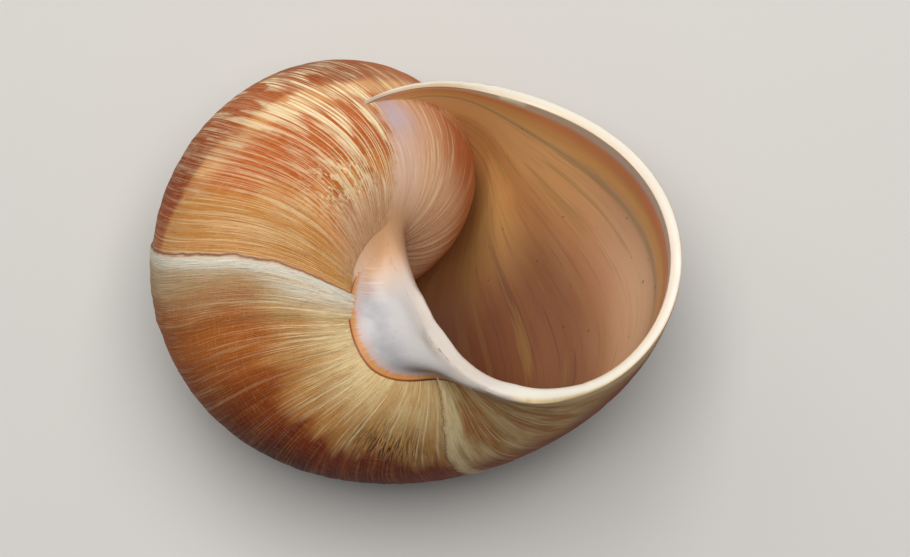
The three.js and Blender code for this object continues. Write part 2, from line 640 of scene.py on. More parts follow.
def settle(piece: bpy.types.Object) -> None:
    """Turns what an object's modifiers make into its plain mesh.

    Args:
        piece: The object, whose modifiers are removed.
    """
    evaluated = piece.evaluated_get(bpy.context.evaluated_depsgraph_get())
    mesh = bpy.data.meshes.new_from_object(evaluated)
    piece.modifiers.clear()
    spent = piece.data
    piece.data = mesh
    bpy.data.meshes.remove(spent)


def combine(piece: bpy.types.Object, other: bpy.types.Object, cut: Cut) -> None:
    """Joins a solid to another, or takes one away from it.

    Args:
        piece: The solid that is changed.
        other: The solid that is joined or taken away, which stays as it is.
        cut: Which of the two is done.
    """
    step = piece.modifiers.new(cut.name.lower(), "BOOLEAN")
    step.operation = cut.value
    step.solver = "MANIFOLD"
    step.object = other
    settle(piece)


def discard(pieces: Sequence[bpy.types.Object]) -> None:
    """Removes objects that were only tools, with their meshes.

    Args:
        pieces: The objects.
    """
    for piece in pieces:
        mesh = piece.data
        bpy.data.objects.remove(piece)
        bpy.data.meshes.remove(mesh)


def grown(name: str, tree: GrowthTree, **values: object) -> bpy.types.Object:
    """Makes a plain mesh with a Geometry Nodes tree.

    Args:
        name: The object's name.
        tree: The tree.
        **values: The tree's inputs, named with underscores for spaces.

    Returns:
        The object, with no modifier left on it.
    """
    piece = put(name, bpy.data.meshes.new(name))
    step = piece.modifiers.new("growth", "NODES")
    step.node_group = tree.tree
    for key, value in values.items():
        step[tree.sockets[key]] = value
    settle(piece)
    return piece


def rows_of(parts: bpy.types.bpy_prop_collection, name: str, width: int) -> np.ndarray:
    """Reads one property of a mesh's points, edges or faces.

    Args:
        parts: The points, edges or faces.
        name: The property.
        width: How many numbers it has.

    Returns:
        Its numbers, a row for each part.
    """
    flat = np.empty(len(parts) * width, dtype=float if name == "co" else np.int64)
    parts.foreach_get(name, flat)
    return flat.reshape(-1, width)


def points_of(mesh: bpy.types.Mesh) -> np.ndarray:
    """The places of a mesh's points, one row each."""
    return rows_of(mesh.vertices, "co", 3)


def triangles_of(mesh: bpy.types.Mesh) -> np.ndarray:
    """The numbers of the corners of a mesh's triangles, one row each."""
    mesh.calc_loop_triangles()
    return rows_of(mesh.loop_triangles, "vertices", 3)


def move_points(mesh: bpy.types.Mesh, points: np.ndarray) -> None:
    """Puts a mesh's points in new places."""
    mesh.vertices.foreach_set("co", points.ravel())
    mesh.update()


def unit(vectors: np.ndarray) -> np.ndarray:
    """The same directions, each one long."""
    return vectors / np.linalg.norm(vectors, axis=-1, keepdims=True)


def totals(owner: np.ndarray, vectors: np.ndarray, count: int) -> np.ndarray:
    """Adds up vectors by the number of the point that each belongs to."""
    return np.stack([np.bincount(owner, vectors[:, k], count) for k in range(3)], -1)


def largest_part(mesh: bpy.types.Mesh) -> None:
    """Deletes every part of a mesh that isn't joined to its largest one.

    Args:
        mesh: The mesh, which is changed.
    """
    ends = rows_of(mesh.edges, "vertices", 2)
    label = np.arange(len(mesh.vertices))
    while True:
        low = np.minimum(label[ends[:, 0]], label[ends[:, 1]])
        following = label.copy()
        np.minimum.at(following, ends[:, 0], low)
        np.minimum.at(following, ends[:, 1], low)
        following = following[following]
        if (following == label).all():
            break
        label = following
    names, counts = np.unique(label, return_counts=True)
    keep = label == names[counts.argmax()]
    if keep.all():
        return
    shape = bmesh.new()
    shape.from_mesh(mesh)
    loose = [point for point, kept in zip(list(shape.verts), keep) if not kept]
    bmesh.ops.delete(shape, geom=loose, context="VERTS")
    shape.to_mesh(mesh)
    shape.free()


@dataclass(frozen=True)
class Callus:
    """The callus that spreads from the lip over the hollow round the axis.

    Strips run from the callus's rim on the last whorl to the crest of the lip, tangent to
    the whorl at one end and to the lip's roll at the other.
    """

    rule: GrowthRule
    oldest: float = -5.0
    newest: float = -0.12
    lip_start: float = -1.93
    lip_rate: float = 0.3
    rim: float = -1.74
    rim_dip: float = -0.3
    rim_rise: float = 0.12
    rim_turn: float = 0.2
    thickness: float = 0.8
    proud: float = 0.06
    sunk: float = -0.12
    root: float = 0.4
    rim_pull: float = 0.9
    lip_pull: float = 0.8
    landing: float = 0.3
    pull_step: float = 0.02
    bend_step: float = 0.03
    root_step: float = 0.03
    tail_start: float = 0.5
    tail_sink: float = 8.0
    tail_power: float = 1.5
    tail_share: float = 0.05
    strips: int = 110
    across: int = 28
    over_lip: tuple[float, ...] = (0.38, 0.46, 0.54, 0.62, 0.7, 0.78)
    saddle_places: tuple[float, float] = (-3.06, -3.3)

    def rim_place(self, age: np.ndarray) -> np.ndarray:
        """The place of the callus's rim on the last whorl, at each age."""
        dip = self.rim_dip * smooth(age, -2.4, -0.9) + self.rim_rise * smooth(age, -0.8, -0.1)
        return self.rim + dip + self.rim_turn * (np.maximum(-age - 4, 0) / 0.7) ** 2

    def stands_off(self, age: np.ndarray) -> np.ndarray:
        """How far the rim stands off the whorl, which it sinks into at both ends."""
        shown = smooth(age, -4.3, -3.6) * (1 - smooth(age, -0.8, -0.3))
        return self.sunk + (self.proud - self.sunk) * shown

    def on_whorl(self, age: np.ndarray, place: np.ndarray, depth: Number) -> np.ndarray:
        """Points of the last whorl, one row each."""
        return np.stack(self.rule.point(age, place, depth), -1)

    def on_lip(self, place: np.ndarray, bend: float, proud: Number) -> np.ndarray:
        """Points of the lip's roll.

        Args:
            place: Where round the lip.
            bend: 0 on the outside of the roll, half at its crest and 1 on its inside.
            proud: How far the points stand off the roll.

        Returns:
            The points, one row each.
        """
        newest = place * 0
        wall = self.rule.wall_at(newest, place)
        depth = wall * (0.5 - 0.5 * math.cos(math.pi * bend)) - proud * math.cos(math.pi * bend)
        ahead = (wall * 0.5 + proud) * math.sin(math.pi * bend)
        return np.stack(self.rule.point(newest, place, depth, ahead), -1)

    def skin(self) -> tuple[np.ndarray, np.ndarray, np.ndarray]:
        """Works out the callus's upper face.

        Returns:
            Its points by strip and by step across, the strips' ages and the steps' shares.
        """
        age = np.linspace(self.oldest, self.newest, self.strips + 1)
        place = self.rim_place(age)
        lip_place = self.lip_start + self.lip_rate * age
        off = self.stands_off(age)
        rim = self.on_whorl(age, place, -off)
        crest = self.on_lip(lip_place, self.landing, off)
        chord = np.linalg.norm(crest - rim, axis=1, keepdims=True)
        inwards = unit(self.on_whorl(age, place - self.pull_step, -off) - rim)
        over = unit(self.on_lip(lip_place, self.landing + self.bend_step, off) - crest)
        share = np.linspace(0, 1, self.across + 1)
        t = share[None, :, None]
        points = (
            (2 * t**3 - 3 * t**2 + 1) * rim[:, None]
            + (t**3 - 2 * t**2 + t) * (inwards * chord * self.rim_pull)[:, None]
            + (3 * t**2 - 2 * t**3) * crest[:, None]
            + (t**3 - t**2) * (over * chord * self.lip_pull)[:, None]
        )
        past = np.maximum(np.array(self.over_lip) - self.tail_start, 0)
        tail = [
            self.on_lip(lip_place, bend, off - self.tail_sink * sink**self.tail_power)
            for bend, sink in zip(self.over_lip, past)
        ]
        points = np.concatenate([points, np.stack(tail, 1)], axis=1)
        share = np.concatenate([share, 1 + self.tail_share * np.arange(1, len(tail) + 1)])
        return points, age, share

    @staticmethod
    def mark(mesh: bpy.types.Mesh, tree: TubeTree, age: np.ndarray, share: np.ndarray) -> None:
        """Keeps the callus's ages and shares in the maps that the finish reads.

        Args:
            mesh: The callus's mesh.
            tree: The tube tree, which names the maps.
            age: The age of each point.
            share: How far each point is from the rim to the lip.
        """
        owners = rows_of(mesh.loops, "vertex_index", 1)[:, 0]
        growth = mesh.attributes.new(tree.growth_map, "FLOAT2", "CORNER")
        growth.data.foreach_set("vector", np.stack([age[owners], share[owners]], -1).ravel())
        skin = mesh.attributes.new(tree.skin_map, "FLOAT2", "CORNER")
        skin.data.foreach_set("vector", np.tile([0.0, 1.0], len(owners)))

    def build(self, tree: TubeTree, material: bpy.types.Material) -> bpy.types.Object:
        """Makes the callus as a closed solid.

        Args:
            tree: The tube tree, which names the maps.
            material: The shell's finish.

        Returns:
            The callus's object.
        """
        top, age, share = self.skin()
        normal = unit(np.cross(np.gradient(top, axis=0), np.gradient(top, axis=1)))
        if normal[self.strips // 2, self.across // 2, 2] > 0:
            normal *= -1
        under = top - normal * self.thickness
        under[:, 0] = self.on_whorl(age, self.rim_place(age) - self.root_step, self.root)
        ring = np.concatenate([top, under[:, ::-1]], axis=1)
        ring_size = ring.shape[1]
        points = np.concatenate(
            [ring.reshape(-1, 3), ring[:1].mean(axis=1), ring[-1:].mean(axis=1)]
        )
        first, last = len(points) - 2, len(points) - 1
        final = self.strips * ring_size
        faces: list[tuple[int, ...]] = []
        for n in range(ring_size):
            after = (n + 1) % ring_size
            for strip in range(self.strips):
                low = strip * ring_size
                faces.append((low + n, low + ring_size + n, low + ring_size + after, low + after))
            faces.append((first, n, after))
            faces.append((last, final + after, final + n))
        mesh = bpy.data.meshes.new("callus")
        mesh.from_pydata(points.tolist(), [], faces)
        mesh.materials.append(material)
        ring_share = np.concatenate([share, share[::-1]])
        self.mark(
            mesh,
            tree,
            np.concatenate([np.repeat(age, ring_size), age[[0, -1]]]),
            np.concatenate([np.tile(ring_share, len(age)), [0.5, 0.5]]),
        )
        if volume(mesh) < 0:
            mesh.flip_normals()
        return put("callus", mesh)


def volume(mesh: bpy.types.Mesh) -> float:
    """The volume that a closed mesh holds, which is negative if it is inside out."""
    a, b, c = points_of(mesh)[triangles_of(mesh)].transpose(1, 0, 2)
    return float(np.einsum("ij,ij->i", a, np.cross(b, c)).sum() / 6)


def melt(mesh: bpy.types.Mesh, weight: np.ndarray, rounds: int, wear: float) -> None:
    """Lets callus fill the hollow of a joint between two surfaces, and wear its ridges.

    Args:
        mesh: The mesh, which is changed.
        weight: How freely each point moves, from 0 to 1.
        rounds: How many times every point moves towards its neighbours.
        wear: How much of an inward move is made, from 0 to 1.
    """
    points = points_of(mesh)
    corners = triangles_of(mesh)
    corners = corners[(weight[corners] > 0).any(axis=1)]
    inside, corners = np.unique(corners, return_inverse=True)
    corners = corners.reshape(-1, 3)
    spot = points[inside]
    free = weight[inside][:, None]
    starts, ends, pulls = [], [], []
    for n in range(3):
        a, b, c = corners[:, n], corners[:, (n + 1) % 3], corners[:, (n + 2) % 3]
        to_a, to_b = spot[a] - spot[c], spot[b] - spot[c]
        area = np.linalg.norm(np.cross(to_a, to_b), axis=1)
        pull = np.clip((to_a * to_b).sum(1) / np.maximum(area, 1e-9), *PULLS)
        starts += [a, b]
        ends += [b, a]
        pulls += [pull, pull]
    start, end, pull = (np.concatenate(x) for x in (starts, ends, pulls))
    total = np.bincount(start, pull, len(inside))[:, None]
    for _ in range(rounds):
        a, b, c = spot[corners].transpose(1, 0, 2)
        facing = np.cross(b - a, c - a)
        normal = sum(totals(corners[:, n], facing, len(inside)) for n in range(3))
        normal /= np.maximum(np.linalg.norm(normal, axis=1, keepdims=True), 1e-12)
        mean = totals(start, pull[:, None] * spot[end], len(inside))
        move = mean / np.maximum(total, 1e-12) - spot
        outward = (move * normal).sum(1, keepdims=True)
        keep = np.where(outward > 0, 1.0, wear)
        spot += MELT_STEP * free * keep * move
    points[inside] = spot
    move_points(mesh, points)


def near_line(
    points: np.ndarray, line: np.ndarray, core: float, reach: float, fade: float
) -> np.ndarray:
    """How near points are to a line, from 1 within its core to 0 past its reach.

    Args:
        points: The points, one row each.
        line: The line's own points, close together.
        core: The distance up to which the share is 1.
        reach: The distance at which nothing is left.
        fade: The part of the line, at its end, over which the share dies out.

    Returns:
        A share for each point.
    """
    nearest = np.full(len(points), np.inf)
    along = np.zeros(len(points))
    for number, spot in enumerate(line):
        away = np.linalg.norm(points - spot, axis=1)
        along[away < nearest] = 1 - number / (len(line) - 1)
        nearest = np.minimum(nearest, away)
    ending = smooth(along, 0.0, fade) if fade else 1.0
    return smooth(nearest, reach, core) * ending


def ball(name: str, middle: Vector, radius: float) -> bpy.types.Object:
    """Adds a plain ball, which serves to cut a region out of a solid.

    Args:
        name: Its name.
        middle: Its middle.
        radius: Its radius.

    Returns:
        The ball.
    """
    mesh = bpy.data.meshes.new(name)
    shape = bmesh.new()
    bmesh.ops.create_icosphere(shape, subdivisions=4, radius=radius)
    bmesh.ops.translate(shape, verts=shape.verts, vec=middle)
    shape.to_mesh(mesh)
    shape.free()
    return put(name, mesh)


def drape(
    mesh: bpy.types.Mesh, weight: np.ndarray, before: np.ndarray, skin_mesh: bpy.types.Mesh,
    rounds: int,
) -> None:
    """Lays part of a mesh over a smoother skin, and evens out its points there.

    Args:
        mesh: The mesh, which is changed.
        weight: How far each of its points goes to the skin, from 0 to 1.
        before: Where the skin's points were before it was smoothed.
        skin_mesh: The smooth skin.
        rounds: How many times every point is evened out and laid on the skin again.
    """
    after = points_of(skin_mesh)
    near = KDTree(len(before))
    for number, spot in enumerate(before):
        near.insert(spot, number)
    near.balance()
    skin = BVHTree.FromPolygons(
        [Vector(spot) for spot in after], [tuple(face.vertices) for face in skin_mesh.polygons]
    )
    points = points_of(mesh)
    start = points.copy()
    chosen = np.flatnonzero(weight > 0)
    for number in chosen:
        found = near.find_n(start[number], 4)
        pulls = np.array([1 / (distance + 0.02) for _, _, distance in found])
        moves = np.array([after[other] - before[other] for _, other, _ in found])
        points[number] += (pulls[:, None] * moves).sum(0) / pulls.sum()
    ends = rows_of(mesh.edges, "vertices", 2)
    ends = ends[(weight[ends] > 0).any(axis=1)]
    a, b = np.concatenate([ends[:, 0], ends[:, 1]]), np.concatenate([ends[:, 1], ends[:, 0]])
    count = np.maximum(np.bincount(a, minlength=len(points)), 1)[:, None]
    share = weight[chosen][:, None]
    for _ in range(rounds):
        mean = totals(a, points[b], len(points)) / count
        pulled = points[chosen] * 0.5 + mean[chosen] * 0.5
        laid = np.array([skin.find_nearest(spot)[0] for spot in pulled])
        points[chosen] = start[chosen] * (1 - share) + laid * share
    move_points(mesh, points)


@dataclass(frozen=True)
class Patch:
    """A stretch of the lip's roll round which the callus is worked over into a smooth skin."""

    first: float
    last: float
    bend: float
    core: float
    reach: float
    grain: float
    fill_rounds: int
    wear_rounds: int
    fade: float


@dataclass
class Shell:
    """The whole shell: the coiled wall, its filled beginning, the lip and the plate."""

    rule: GrowthRule
    rows: Rows
    tubes: TubeTree
    callus: Callus
    lengths_per_turn: int = 3
    hollow_lengths: int = 9
    steps_round: int = 144
    lip_steps: int = 10
    core_steps: int = 32
    core_stride: int = 2
    core_depth: float = 0.3
    core_overlap: int = 2
    filled_steps: int = 48
    filled_depth: float = 0.5
    drape_rounds: int = 12
    sharp_angle: float = 50.0
    rest_turn: tuple[float, float, float] = (-140.4, -1.8, 42.7)
    rest_flat: float = 0.2
    patches: tuple[Patch, ...] = (
        Patch(-3.05, -1.65, 0.25, 0.5, 1.3, 0.2, 50, 5, 0.2),
        Patch(-3.1, -2.8, 0.3, 0.6, 2.6, 0.2, 0, 20, 0.0),
        Patch(-2.5, -1.8, 0.75, 0.6, 1.6, 0.15, 0, 8, 0.3),
        Patch(-3.42, -3.12, 0.5, 1.7, 4.4, 0.25, 200, 60, 0.0),
    )

    def solid(self, material: bpy.types.Material) -> bpy.types.Object:
        """Joins the lengths of wall in the order in which the shell grew.

        Args:
            material: The finish that every length carries.

        Returns:
            The shell in its own frame, in millimetres.
        """
        wall_tree = self.tubes.wall()
        filling_tree = self.tubes.filling()
        length_age = TURN / self.lengths_per_turn
        borders = [
            self.rows.nearest(-n * length_age) for n in range(self.hollow_lengths + 1)
        ]
        core = grown(
            "core",
            filling_tree,
            Oldest_Row=self.rows.in_all,
            Newest_Row=borders[-1] - self.core_overlap * self.rows.stride,
            Steps_Round=self.core_steps,
            Row_Step=self.core_stride,
            Depth_Share=self.core_depth,
            Inside=0.0,
            Material=material,
        )
        pieces: list[bpy.types.Object] = [core]
        filled: list[bpy.types.Object] = []
        for n in range(self.hollow_lengths, 0, -1):
            oldest = min(borders[n] + self.rows.stride, self.rows.in_all)
            newest = borders[n - 1]
            at_lip = newest == 0
            wall = grown(
                f"wall_{n}",
                wall_tree,
                Oldest_Row=oldest,
                Newest_Row=newest,
                Steps_Round=self.steps_round,
                End_Steps=self.lip_steps if at_lip else 1,
                End_Rounding=1.0 if at_lip else 0.0,
                Relief=1.0,
                Material=material,
            )
            for older in filled[-self.lengths_per_turn - 1 : -1]:
                combine(wall, older, Cut.TAKE_AWAY)
            pieces.append(wall)
            filled.append(
                grown(
                    f"filled_{n}",
                    filling_tree,
                    Oldest_Row=oldest,
                    Newest_Row=newest,
                    Steps_Round=self.filled_steps,
                    Row_Step=self.rows.stride,
                    Depth_Share=self.filled_depth,
                    Inside=1.0,
                    Material=material,
                )
            )
            log.info("wall length %d: %d faces", n, len(wall.data.polygons))
        pieces.append(self.callus.build(self.tubes, material))
        whole = pieces[0]
        for piece in pieces[1:]:
            combine(whole, piece, Cut.JOIN)
        discard(pieces[1:] + filled)
        largest_part(whole.data)
        self.blend_callus(whole)
        return whole

    def blend_callus(self, whole: bpy.types.Object) -> None:
        """Works the callus, the lip's roll and the wall behind them into one smooth skin.

        Args:
            whole: The shell, which is changed.
        """
        for patch in self.patches:
            places = np.linspace(patch.first, patch.last, 30)
            line = self.callus.on_lip(places, patch.bend, 0.0)
            middle = line.mean(axis=0)
            radius = np.linalg.norm(line - middle, axis=1).max() + patch.reach + 1.0
            region = ball("patch_region", Vector(middle), radius)
            copy = put("patch", whole.data.copy())
            combine(copy, region, Cut.KEEP_SHARED)
            grain = copy.modifiers.new("grain", "REMESH")
            grain.mode = "VOXEL"
            grain.voxel_size = patch.grain
            settle(copy)
            before = points_of(copy.data)
            weight = near_line(before, line, patch.core, patch.reach, patch.fade)
            melt(copy.data, weight, patch.fill_rounds, 0.0)
            melt(copy.data, weight, patch.wear_rounds, 1.0)
            points = points_of(whole.data)
            weight = near_line(points, line, patch.core, patch.reach, patch.fade)
            drape(whole.data, weight, before, copy.data, self.drape_rounds)
            discard([region, copy])

    def rest_matrix(self) -> Matrix:
        """The turn that lays the shell on its back, with the step from millimetres to metres."""
        turn = Euler([math.radians(a) for a in self.rest_turn], "XYZ").to_matrix()
        return (turn * MM).to_4x4()

    def place(self, whole: bpy.types.Object) -> Matrix:
        """Lays the shell on the ground, its box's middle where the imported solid's is.

        Args:
            whole: The shell's object.

        Returns:
            The matrix from the shell's own frame to the row frame.
        """
        mesh = whole.data
        matrix = self.rest_matrix()
        mesh.transform(matrix)
        points = points_of(mesh)
        low, high = (Vector(corner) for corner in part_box("shell"))
        shift = (low + high) / 2 - Vector((points.min(0) + points.max(0)) / 2)
        shift.z = low.z - self.rest_flat * MM - points[:, 2].min()
        points += np.array(shift)
        points[:, 2] = np.maximum(points[:, 2], low.z)
        move_points(mesh, points)
        return Matrix.Translation(shift) @ matrix


@dataclass(frozen=True)
class Viewpoint:
    """The camera, given in the shell's own frame in millimetres."""

    pivot: tuple[float, float, float] = (0.0, 0.0, -25.62)
    right: tuple[float, float, float] = (0.7297, 0.58681, -0.35099)
    up: tuple[float, float, float] = (0.66676, -0.49688, 0.55546)
    back: tuple[float, float, float] = (0.15155, -0.63935, -0.75384)
    distance: float = 335.9
    lens: float = 168.9
    shift: tuple[float, float] = (0.0781, 0.0140)

    def add(self, placed: Matrix) -> bpy.types.Object:
        """Adds the camera.

        Args:
            placed: The matrix from the shell's own frame to the row frame.

        Returns:
            The camera's object.
        """
        data = bpy.data.cameras.new("camera")
        data.lens = self.lens
        data.sensor_width = 36.0
        data.shift_x, data.shift_y = self.shift
        data.clip_start = 0.01
        camera = bpy.data.objects.new("camera", data)
        bpy.context.scene.collection.objects.link(camera)
        turn = placed.to_3x3().normalized()
        axes = [turn @ Vector(axis) for axis in (self.right, self.up, self.back)]
        spot = placed @ Vector(self.pivot) + axes[2] * self.distance * MM
        matrix = Matrix(axes).transposed().to_4x4()
        matrix.translation = spot
        camera.matrix_world = matrix
        bpy.context.scene.camera = camera
        return camera


def tint(code: str) -> tuple[float, float, float, float]:
    """Turns a display colour into the renderer's linear one.

    Args:
        code: The colour, as six hexadecimal digits.

    Returns:
        The colour's red, green, blue and alpha.
    """
    parts = [int(code[n : n + 2], 16) / 255 for n in (0, 2, 4)]
    linear = [c / 12.92 if c <= 0.04045 else ((c + 0.055) / 1.055) ** 2.4 for c in parts]
    return (linear[0], linear[1], linear[2], 1.0)


class Brush(Wiring):
    """Paints a material in layers, each laid over the last as thickly as a field says."""

    def __init__(self, material: bpy.types.Material, ground: str) -> None:
        """Starts on a material.

        Args:
            material: The material.
            ground: The display colour under every layer.
        """
        material.use_nodes = True
        super().__init__(material.node_tree)
        self.tree.nodes.clear()
        mix = self.node("ShaderNodeMix", data_type="RGBA", Factor=0.0, A=tint(ground))
        self.colour = mix.outputs["Result"]

    def pair(self, map_name: str) -> tuple[Field, Field]:
        """Reads the two numbers of one of the piece's own maps."""
        return self.split(self.node("ShaderNodeUVMap", uv_map=map_name).outputs[0])

    def nearness(self, spot: Vector, core: float, reach: float) -> Field:
        """How near a point of the piece is to a spot.

        Args:
            spot: The spot, in the row frame.
            core: The distance up to which it is 1, in metres.
            reach: The distance past which it is 0, in metres.

        Returns:
            The share.
        """
        where = self.node("ShaderNodeTexCoord").outputs["Object"]
        away = self.node("ShaderNodeVectorMath", operation="DISTANCE")
        self.tree.links.new(where, away.inputs[0])
        away.inputs[1].default_value = spot
        return smooth(Field(self.tree, away.outputs["Value"]), reach, core)

    def noise(self, x: Number, y: Number, z: Number, detail: float = 3.0) -> Field:
        """Adds noise over three coordinates.

        Args:
            x: The first coordinate, which varies over one unit.
            y: The second.
            z: The third, or a number that sets this noise apart from the others.
            detail: How many finer noises are laid over it.

        Returns:
            The noise, mostly between 0.3 and 0.7.
        """
        spot = self.node("ShaderNodeCombineXYZ", X=x, Y=y, Z=z).outputs[0]
        return self.field(
            "ShaderNodeTexNoise", Vector=spot, Scale=1.0, Detail=detail, Roughness=0.55
        )

    def lay(self, colour: str, amount: Number) -> None:
        """Lays a display colour over what is painted so far, as thickly as amount says."""
        mix = self.node("ShaderNodeMix", data_type="RGBA", Factor=amount, A=self.colour, B=tint(colour))
        self.colour = mix.outputs["Result"]

    def finish(self, roughness: Field, polish: Field, height: Field, depth: float) -> None:
        """Ends the material in its shader.

        Args:
            roughness: The surface's roughness.
            polish: How much of a clear polish lies over it, from 0 to 1.
            height: The fine relief, from 0 to 1.
            depth: The depth of the fine relief, in metres.
        """
        relief = self.node("ShaderNodeBump", Distance=depth, Height=height)
        shader = self.field(
            "ShaderNodeBsdfPrincipled",
            Base_Color=self.colour,
            Roughness=roughness,
            Coat_Weight=polish,
            Coat_Roughness=0.3,
            Normal=relief.outputs[0],
            IOR=1.53,
            Specular_IOR_Level=0.1,
        )
        self.tree.links.new(shader.socket, self.node("ShaderNodeOutputMaterial").inputs[0])


@dataclass(frozen=True)
class ShellTones:
    """The shell's display colours, and the ages at which growth stopped for a winter.

    Each of the old halts has its age and how strongly it shows.
    """

    first_halt: float = -3.53
    second_halt: float = -1.21
    old_halts: tuple[tuple[float, float], ...] = ((-6.9, 0.35), (-9.0, 0.4), (-11.7, 0.3))
    change: float = 0.02
    fine_depth: float = 0.00012
    orange: str = "c4752c"
    amber: str = "c68c44"
    brown: str = "974712"
    red_brown: str = "762806"
    rust: str = "b0561f"
    cream: str = "efdcb0"
    beige: str = "dfc692"
    chalk: str = "d9d3c2"
    olive: str = "8f7a3c"
    ink: str = "2c140a"
    honey: str = "bc8242"
    russet: str = "b06226"
    # the shell's own deep red-brown, also laid darker as painted shade
    umber: str = "541400"
    sand: str = "b88a50"
    fawn: str = "b5834a"
    straw: str = "b08648"
    buff: str = "c2a67a"
    # painted shade for the chalk band
    chalk_shade: str = "94835f"
    toffee: str = "ac7a40"
    chestnut: str = "7a2c08"
    lip_shade: str = "4e2a14"
    halt_line: str = "5a3826"
    worn_apex: str = "cfa982"
    glaze_pale: str = "cdaea2"
    glaze_pink: str = "d09c74"
    glaze_orange: str = "b86a36"
    glaze_red: str = "a84c20"
    glaze_cream: str = "e6bc94"
    lilac: str = "b3a4aa"
    flesh: str = "c28a64"
    inner_honey: str = "d39a58"
    inner_clay: str = "a8663a"
    inner_shade: str = "68402a"
    inner_pale: str = "e2bc96"
    # painted glow: a bright gold that stands for light shining through the thin wall near the lip
    inner_painted_glow: str = "f8c484"
    inner_moss: str = "8c7446"
    inner_straw: str = "9a7c46"
    inner_plum: str = "6a4038"
    inner_olive: str = "94783f"
    # painted shade for the depth of the mouth
    inner_deep_shade: str = "552612"
    inner_thread: str = "5a3a34"
    rim_grey: str = "9c8c68"
    rim_gold: str = "e8b464"
    rim_coral: str = "ee9458"
    rim_cream: str = "f0cfae"
    rim_rose: str = "e0c0b8"
    ivory: str = "dad4c6"
    roll_cream: str = "dac6a8"
    roll_tan: str = "c08a58"
    roll_rose: str = "d6c6bc"
    roll_tip: str = "8c7f78"
    porcelain: str = "bcb8b4"
    bone: str = "cabdb0"
    bluish: str = "9c999c"
    callus_shade: str = "6d5c52"
    callus_tan: str = "c2966c"
    seam_mauve: str = "b8a098"
    seam_orange: str = "c07f3a"
    seam_brown: str = "7b3d17"
    speck: str = "4d4438"
    saddle_grey: str = "b4aca6"
    saddle_peach: str = "d0a888"
    saddle_tan: str = "bc8e64"


